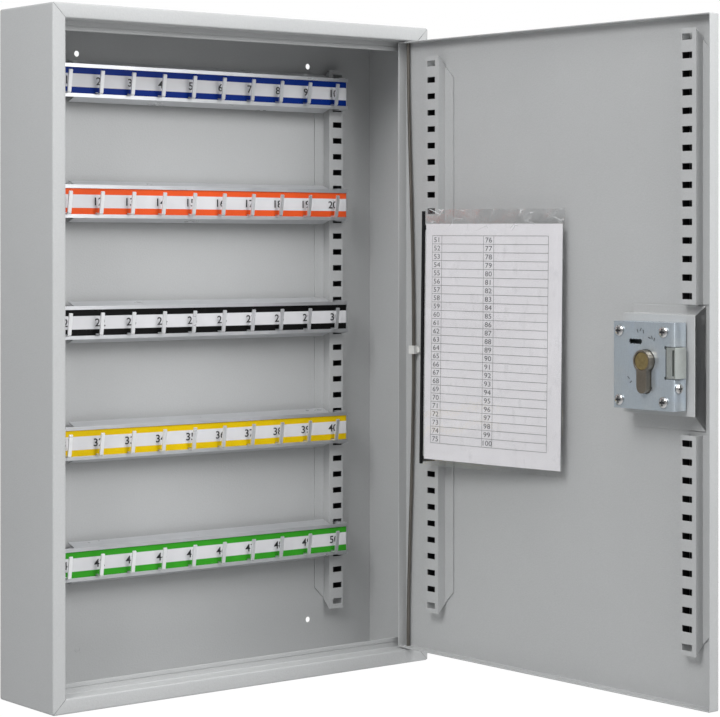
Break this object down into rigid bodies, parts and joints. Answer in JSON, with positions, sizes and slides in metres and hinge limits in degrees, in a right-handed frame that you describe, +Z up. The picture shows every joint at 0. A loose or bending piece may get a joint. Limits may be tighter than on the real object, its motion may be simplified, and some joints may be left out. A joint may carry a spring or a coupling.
{
  "type": "key cabinet",
  "caption": "Wall-mounted steel key cabinet with numbered hook rails, a hinged door with a profile cylinder lock, and a key index in a clear sleeve.",
  "frame": {"origin": "centre of the back panel's rear face, on the wall plane", "axes": "+Y into the wall, +Z up, +X towards the hinge side; the door opens towards -Y"},
  "size_m": [0.38, 0.4224, 0.55],
  "materials": {
    "paint": "fine textured powder coat, light grey",
    "rail_zinc": "bright zinc plate",
    "lock_zinc": "bright blue passivated zinc plate",
    "steel": "bright drawn steel",
    "brass": "turned, satin",
    "nickel": "satin nickel plate",
    "nylon": "natural white nylon",
    "black_plastic": "black, satin",
    "clear_film": "clear flexible film",
    "paper": "uncoated, printed table",
    "label_blue": "printed strip, coloured bands and a white middle",
    "label_orange": "printed strip, coloured bands and a white middle",
    "label_black": "printed strip, coloured bands and a white middle",
    "label_yellow": "printed strip, coloured bands and a white middle",
    "label_green": "printed strip, coloured bands and a white middle"
  },
  "bodies": {
    "cabinet": {"cabinet_shell": "paint", "back_panel": "paint", "strip_left": "paint", "strip_right": "paint", "rail_1": "rail_zinc", "rail_2": "rail_zinc", "rail_3": "rail_zinc", "rail_4": "rail_zinc", "rail_5": "rail_zinc", "label_1": "label_blue", "label_2": "label_orange", "label_3": "label_black", "label_4": "label_yellow", "label_5": "label_green"},
    "door": {"door_pan": "paint", "door_strip_hinge": "paint", "door_strip_lock_top": "paint", "door_strip_lock_bottom": "paint", "hinge_rod": "steel", "rod_clip": "nylon", "lock_bracket": "paint", "lock_case": "lock_zinc", "lock_plate": "lock_zinc", "plate_screw_1": "lock_zinc", "plate_screw_2": "lock_zinc", "plate_screw_3": "lock_zinc", "plate_screw_4": "lock_zinc", "cylinder_screw": "lock_zinc", "detent_spring": "steel", "cylinder_body": "nickel", "escutcheon": "lock_zinc", "index_spine": "black_plastic", "spine_clip_top": "black_plastic", "spine_clip_bottom": "black_plastic"},
    "plug": {"cylinder_plug": "brass", "cylinder_cam": "steel"},
    "bolt": {"bolt": "lock_zinc"},
    "sleeve": {"index_sleeve": "clear_film"},
    "sheet": {"index_sheet": "paper"}
  },
  "joints": [
    {"name": "door_hinge", "type": "hinge", "parent": "cabinet", "child": "door", "pos_m": [0.1705, -0.0765, 0], "axis": [0, 0, 1], "range_deg": [-91.5, 28.5]},
    {"name": "plug_turn", "type": "hinge", "parent": "door", "child": "plug", "pos_m": [0.16186, -0.37683, 0], "axis": [-0.9997, -0.0262, 0], "range_deg": [0, 360]},
    {"name": "bolt_slide", "type": "slide", "parent": "door", "child": "bolt", "axis": [0.0262, -0.9997, 0], "range_m": [0, 0.014]},
    {"name": "sleeve_turn", "type": "hinge", "parent": "door", "child": "sleeve", "pos_m": [0.15011, -0.11905, 0], "axis": [-0.014, -0.0004, -0.9999], "range_deg": [0, 12]},
    {"name": "sheet_slide", "type": "slide", "parent": "sleeve", "child": "sheet", "axis": [0.014, 0.0004, 0.9999], "range_m": [0, 0.14]}
  ],
  "couplings": [
    {"joint": "plug_turn", "follows": "bolt_slide", "rad_per_m": 448.8}
  ]
}
